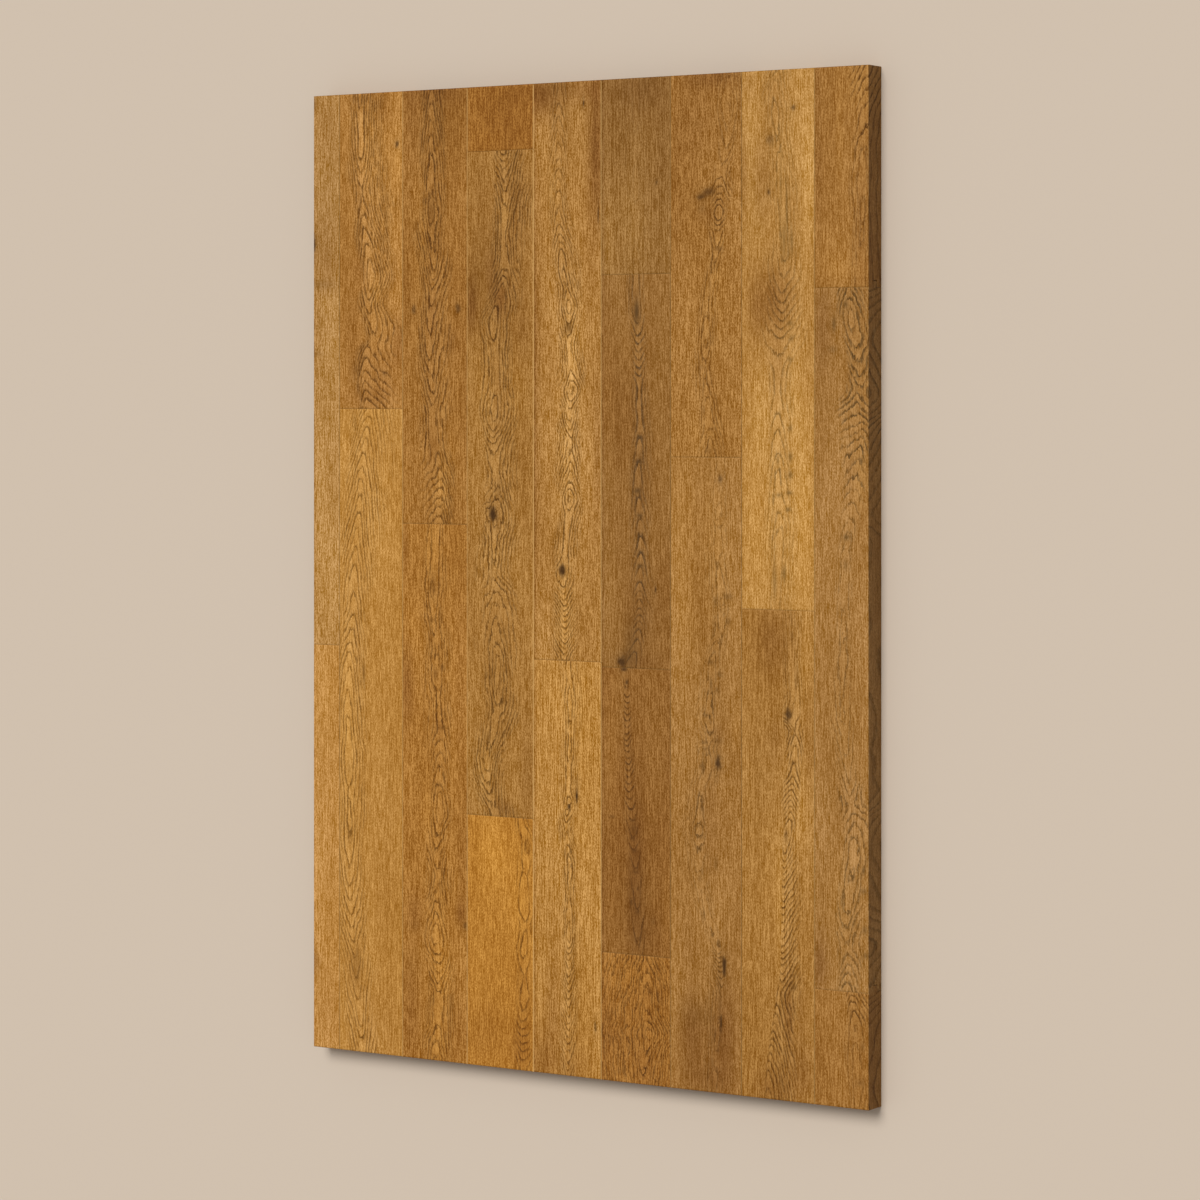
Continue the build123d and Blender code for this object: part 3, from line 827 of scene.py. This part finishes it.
    mesh = bpy.data.meshes.new(name + "_oak")
    mesh.from_pydata((np.stack([across, along, thickness - depth], 1) * mm).tolist(), [], faces)
    mesh.polygons.foreach_set("use_smooth", np.arange(len(faces)) < len(quads))
    layers = {
        "ring": rings,
        "pitch": drawnPitch,
        "jag": jags,
        "figure": strength,
        "knot": knots,
        "shade": softClouds(beside, along, look["shades"]),
        "lift": softClouds(beside, along, look["woodAndShadeLifts"]),
        "bevel": np.concatenate(bevelled),
        "sawn": (np.arange(rings.size) >= grid.size) * 1.0,
    }
    for label, values in layers.items():
        layer = mesh.attributes.new(label, "FLOAT", "POINT")
        layer.data.foreach_set("value", values.astype(np.float32))
    mesh.validate()
    strip = bpy.data.objects.new(name + "_oak", mesh)
    bpy.context.collection.objects.link(strip)
    return strip


def addNode(tree, kind, inputs=None, **settings):
    # a node with its settings, and its sockets linked or set
    node = tree.nodes.new(kind)
    for key, value in settings.items():
        setattr(node, key, value)
    for key, value in (inputs or {}).items():
        if isinstance(value, bpy.types.NodeSocket):
            tree.links.new(value, node.inputs[key])
        else:
            node.inputs[key].default_value = value
    return node


def calc(tree, operation, a, b=0.0, clamp=False):
    # two values added, multiplied and so on
    return addNode(tree, "ShaderNodeMath", {0: a, 1: b}, operation=operation, use_clamp=clamp).outputs[0]


def calcColour(tree, operation, *values):
    # the same on each part of a colour
    return addNode(tree, "ShaderNodeVectorMath", dict(enumerate(values)), operation=operation).outputs[0]


def mixColour(tree, share, a, b, blend="MIX"):
    # from a to b by the share, or with another blend
    sockets = {0: share, 6: a, 7: b}
    return addNode(tree, "ShaderNodeMix", sockets, data_type="RGBA", blend_type=blend).outputs[2]


def stretchedNoise(tree, place, cell, detail=0.0):
    # noise whose cells are so many millimetres across and along the grain, turned so that they form no rows
    scale = (1 / cell[0], 1 / cell[1], 1 / cell[0])
    scaled = {"Vector": place, "Scale": scale, "Rotation": (0.6, 0.4, 0.8)}
    turned = addNode(tree, "ShaderNodeMapping", scaled).outputs[0]
    values = {"Vector": turned, "Scale": 1.0, "Detail": detail}
    return addNode(tree, "ShaderNodeTexNoise", values).outputs[0]


def remap(tree, value, low, high, outLow=0.0, outHigh=1.0):
    # smoothstep from outLow where the value is low to outHigh where it is high
    values = {0: value, 1: low, 2: high, 3: outLow, 4: outHigh}
    return addNode(tree, "ShaderNodeMapRange", values, interpolation_type="SMOOTHSTEP").outputs[0]


def newGroup(name, inputs, outputs):
    # a node group with named sockets, whose kinds are Float, Color or Vector
    group = bpy.data.node_groups.new(name, "ShaderNodeTree")
    for side, sockets in (("INPUT", inputs), ("OUTPUT", outputs)):
        for kind, labels in sockets.items():
            for label in labels.split():
                group.interface.new_socket(label, in_out=side, socket_type="NodeSocket" + kind)
    return group, group.nodes.new("NodeGroupInput").outputs, group.nodes.new("NodeGroupOutput").inputs


# Zigzags of the rings: noise cell across and along the grain, its detail, and how many rings they go
zigzags = [((9.0, 50.0), 1.0, 1.6), ((4.0, 16.0), 0.0, 1.2), ((1.5, 4.0), 0.0, 0.8)]
# Other noise cells, across and along the grain
grainCells = {
    "fade": (3.5, 9.0),  # where a ring's line is fainter
    "dashes": (0.7, 1.6),
    "streaks": (0.72, 11.0),
    "threads": (0.75, 90.0),
    "clouds": (35.0, 150.0),
}
fibreShares = {"dashes": 1.35, "streaks": 1.35, "threads": 1.45}
# A ring's line: how far it goes past the ring, and how dark it is at shares of that
lineSpan = 4.0
lineStops = [(0.0, 0.9), (0.05, 1.0), (0.23, 0.95), (0.36, 0.3), (0.55, 0.1), (1.0, 0.0)]
grainLook = {
    "lineFade": (0.3, 0.58, 0.4, 1.0),  # noise from low to high, and the strength of a line there
    "weakestRing": 0.65,
    "pores": (0.5, 0.32),  # noise where a pore begins and where it is full
    "poresAnywhere": 0.4,
    "poresInLines": 0.6,
    "lightStronger": 0.6,  # than dark, for fibres
    "meanTone": 0.47,
    "gapTone": 0.2,  # more of it between the lines
    "clouds": (0.2, 0.8),  # noise from the pale tone to the deep one
}


def buildGrain():
    # dark ring lines, pores, fibre streaks and tone clouds as masks
    group, given, out = newGroup(
        "oakGrain",
        {"Float": "Ring Pitch Jag Figure Grain Threads", "Vector": "Place"},
        {"Float": "Lines Pores Tone Clouds"},
    )
    plus, less, times = (partial(calc, group, operation) for operation in ("ADD", "SUBTRACT", "MULTIPLY"))
    noise = partial(stretchedNoise, group, given["Place"])
    zigzag = 0.0
    for cell, detail, size in zigzags:
        bend = less(noise(cell, detail), 0.5)
        zigzag = plus(zigzag, times(bend, size))
    count = plus(given["Ring"], times(zigzag, given["Jag"]))
    intoRing = times(calc(group, "FRACT", count), given["Pitch"])  # millimetres
    ramp = addNode(group, "ShaderNodeValToRGB", {0: calc(group, "DIVIDE", intoRing, lineSpan)})
    elements = ramp.color_ramp.elements
    while len(elements) < len(lineStops):
        elements.new(0.5)
    for element, (position, value) in zip(elements, lineStops):
        element.position = position
        element.color = (value, value, value, 1)
    line = ramp.outputs[0]
    number = calc(group, "FLOOR", count)
    chance = addNode(group, "ShaderNodeTexWhiteNoise", {"W": number}, noise_dimensions="1D").outputs[0]
    fade = remap(group, noise(grainCells["fade"], 1.0), *grainLook["lineFade"])
    strength = times(remap(group, chance, 0.0, 1.0, grainLook["weakestRing"], 1.0), fade)
    drawn = times(times(line, strength), given["Figure"])
    group.links.new(drawn, out["Lines"])

    # fine grain: dashes, streaks and threads about their mean, a little stronger where they are light
    noises = {label: noise(grainCells[label]) for label in fibreShares}
    crowd = times(line, grainLook["poresInLines"])
    crowd = plus(grainLook["poresAnywhere"], crowd)
    pores = remap(group, noises["dashes"], *grainLook["pores"])
    group.links.new(times(pores, crowd), out["Pores"])
    fibre = 0.0
    for label, share in fibreShares.items():
        if label == "threads":
            share = times(given["Threads"], share)
        part = times(less(noises[label], 0.5), share)
        fibre = plus(fibre, part)
    fibre = times(fibre, given["Grain"])
    squared = times(fibre, fibre)
    fibre = plus(fibre, times(squared, grainLook["lightStronger"]))
    tone = plus(fibre, grainLook["meanTone"])
    gaps = times(less(1.0, line), given["Figure"])
    gaps = times(gaps, grainLook["gapTone"])
    group.links.new(plus(tone, gaps, True), out["Tone"])
    clouds = noise(grainCells["clouds"], 1.0)
    group.links.new(remap(group, clouds, *grainLook["clouds"]), out["Clouds"])
    return group


# Lacquer
finish = {
    "shine": 0.14,
    "rough": 0.5,
    "poreRough": 0.2,  # rougher in pores
    "lineRough": 0.1,  # rougher in ring lines
    "bump": 0.25,
    "bumpHeight": 0.2,
    "poreDepth": 0.4,  # of a pore's bump against a ring line's
}


def buildStain():
    # colour, roughness and height from the masks
    group, given, out = newGroup(
        "oakStain",
        {"Color": "Pale Deep Line", "Float": "Lines Pores Tone Clouds Knot Shade Lift Bevel Sawn"},
        {"Color": "Color", "Float": "Roughness Height"},
    )
    plus, less, times = (partial(calc, group, operation) for operation in ("ADD", "SUBTRACT", "MULTIPLY"))
    mix = partial(mixColour, group)
    wood = mix(given["Clouds"], given["Pale"], given["Deep"])
    lined = mix(given["Lines"], wood, given["Line"])
    dark, light = np.array(grainTones["dark"]), np.array(grainTones["light"])
    fibre = calcColour(group, "MULTIPLY_ADD", given["Tone"], light - dark, dark)
    fibre = calcColour(group, "MAXIMUM", fibre, (0, 0, 0))
    # lifts: lighter or darker wood, and near the lower end painted shade
    lifted = calcColour(group, "MULTIPLY_ADD", given["Lift"], liftTone, (1, 1, 1))
    toned = calcColour(group, "MULTIPLY", calcColour(group, "MULTIPLY", lined, fibre), lifted)
    # painted shade on the sawn sides and ends
    sideShaded = mix(given["Sawn"], toned, (*sawnSideShade, 1), "MULTIPLY")
    shaded = mix(given["Shade"], sideShaded, given["Line"])
    knotted = mix(given["Knot"], shaded, (*knotTone, 1))
    # joints: a painted highlight on the bevels above 0, dark stain below 0
    highlightedJoints = mix(given["Bevel"], knotted, (*jointHighlightAndStain["pale"], 1))
    darkJoint = times(given["Bevel"], -1.0, True)
    group.links.new(mix(darkJoint, highlightedJoints, (*jointHighlightAndStain["dark"], 1)), out["Color"])
    poreRough = times(given["Pores"], finish["poreRough"])
    lineRough = times(given["Lines"], finish["lineRough"])
    rough = plus(plus(finish["rough"], poreRough), lineRough)
    group.links.new(rough, out["Roughness"])
    sunk = plus(times(given["Pores"], finish["poreDepth"]), given["Lines"])
    group.links.new(less(1.0, sunk), out["Height"])
    return group


def oakMaterial(name, slot, look, seed, grain, stain):
    # the strip's attributes go through the grain and the stain into one shader
    material = bpy.data.materials.new(name)
    material.use_nodes = True
    tree = material.node_tree
    tree.nodes.clear()
    where = addNode(tree, "ShaderNodeTexCoord").outputs["Object"]
    # each strip has its own place in the noise
    shift = (seed * 37.0 % 911, seed * 91.0 % 1303, seed * 53.0 % 701)
    moved = {"Vector": where, "Location": shift, "Scale": (1 / mm, 1 / mm, 1 / mm)}
    place = addNode(tree, "ShaderNodeMapping", moved).outputs[0]
    masks = addNode(tree, "ShaderNodeGroup", node_tree=grain)
    coat = addNode(tree, "ShaderNodeGroup", node_tree=stain)
    for node, labels in ((masks, "Ring Pitch Jag Figure"), (coat, "Knot Shade Lift Bevel Sawn")):
        for label in labels.split():
            layer = addNode(tree, "ShaderNodeAttribute", attribute_name=label.lower())
            tree.links.new(layer.outputs["Fac"], node.inputs[label])
    tree.links.new(place, masks.inputs["Place"])
    masks.inputs["Grain"].default_value = look["grain"]
    masks.inputs["Threads"].default_value = look["threads"]
    for output in masks.outputs:
        tree.links.new(output, coat.inputs[output.name])
    tint = np.array(look["tint"])
    tones = stains[slot]
    coat.inputs["Pale"].default_value = (*(tint * tones["pale"]), 1)
    coat.inputs["Deep"].default_value = (*(tint * tones["deep"]), 1)
    coat.inputs["Line"].default_value = (*(tint * tones["line"] * look["lineTint"]), 1)
    relief = {
        "Height": coat.outputs["Height"],
        "Strength": finish["bump"],
        "Distance": finish["bumpHeight"] * mm,
    }
    shader = addNode(
        tree,
        "ShaderNodeBsdfPrincipled",
        {
            "Base Color": coat.outputs["Color"],
            "Roughness": coat.outputs["Roughness"],
            "Normal": addNode(tree, "ShaderNodeBump", relief).outputs[0],
            "Specular IOR Level": finish["shine"],
        },
    )
    addNode(tree, "ShaderNodeOutputMaterial", {"Surface": shader.outputs[0]})
    return material


slotOf = {part["node"]: part["material_slot"] for part in frame["record"]["subparts"]}
grain, stain = buildGrain(), buildStain()
triangles = 0
for seed, name in enumerate(sorted(frame["nodes"]), start=1):
    look = {**plainLook, **stripLooks[name]}
    strip = makeStrip(name, look, 10 * seed)
    strip.data.materials.append(oakMaterial(name + "_stain", slotOf[name], look, seed, grain, stain))
    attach(strip, "root")
    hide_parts(name)
    triangles += sum(len(p.vertices) - 2 for p in strip.data.polygons)
print("strips made,", triangles, "triangles")

# Floor
floorLook = {"colour": (0.64, 0.545, 0.45), "rough": 0.9, "half": 12.0, "drop": 0.0001}  # metres
half = floorLook["half"]
floorMesh = bpy.data.meshes.new("floor")
corners = [(-half, -half), (half, -half), (half, half), (-half, half)]
floorMesh.from_pydata([(x, y, -floorLook["drop"]) for x, y in corners], [], [(0, 1, 2, 3)])
floor = bpy.data.objects.new("floor", floorMesh)
bpy.context.collection.objects.link(floor)
floorMaterial = bpy.data.materials.new("paleFloor")
floorMaterial.use_nodes = True
floorShader = floorMaterial.node_tree.nodes["Principled BSDF"]
floorShader.inputs["Base Color"].default_value = (*floorLook["colour"], 1)
floorShader.inputs["Roughness"].default_value = floorLook["rough"]
floorMesh.materials.append(floorMaterial)

# Light: a broad lamp from above the upper end, and an even glow all round
lamp = {"place": (0.0, 1.9, 3.5), "spread": 30.0, "power": 2.1, "colour": (1.0, 0.985, 0.96)}
glow = {"colour": (1.0, 0.96, 0.91), "strength": 0.4}
lampData = bpy.data.lights.new("key", "SUN")
lampData.angle = math.radians(lamp["spread"])
lampData.energy = lamp["power"]
lampData.color = lamp["colour"]
light = bpy.data.objects.new("key", lampData)
light.location = lamp["place"]
light.rotation_euler = (-light.location).to_track_quat("-Z", "Y").to_euler()
bpy.context.collection.objects.link(light)
world = bpy.data.worlds.new("studio")
world.use_nodes = True
world.node_tree.nodes["Background"].inputs["Color"].default_value = (*glow["colour"], 1)
world.node_tree.nodes["Background"].inputs["Strength"].default_value = glow["strength"]
bpy.context.scene.world = world
bpy.context.scene.view_settings.view_transform = "Standard"

# Camera: it looks down on the board, turned about the grain, as the photograph looks at the standing board
photoCamera = {
    "turn": 32.65,  # degrees from straight above
    "place": (1.740, 0.146, 2.702),  # metres
    "focal": 3700.0,  # pixels of a 1200 pixel frame
    "frame": 1200.0,
    "horizon": 410.0,  # pixel row of the optical axis
}
camera = bpy.data.objects.new("camera", bpy.data.cameras.new("camera"))
camera.data.sensor_width = 36.0
camera.data.lens = photoCamera["focal"] / photoCamera["frame"] * camera.data.sensor_width
camera.data.shift_y = (photoCamera["horizon"] - photoCamera["frame"] / 2) / photoCamera["frame"]
camera.location = photoCamera["place"]
camera.rotation_euler = (0, math.radians(photoCamera["turn"]), 0)
bpy.context.collection.objects.link(camera)
bpy.context.scene.camera = camera
print("floor, light and camera set")
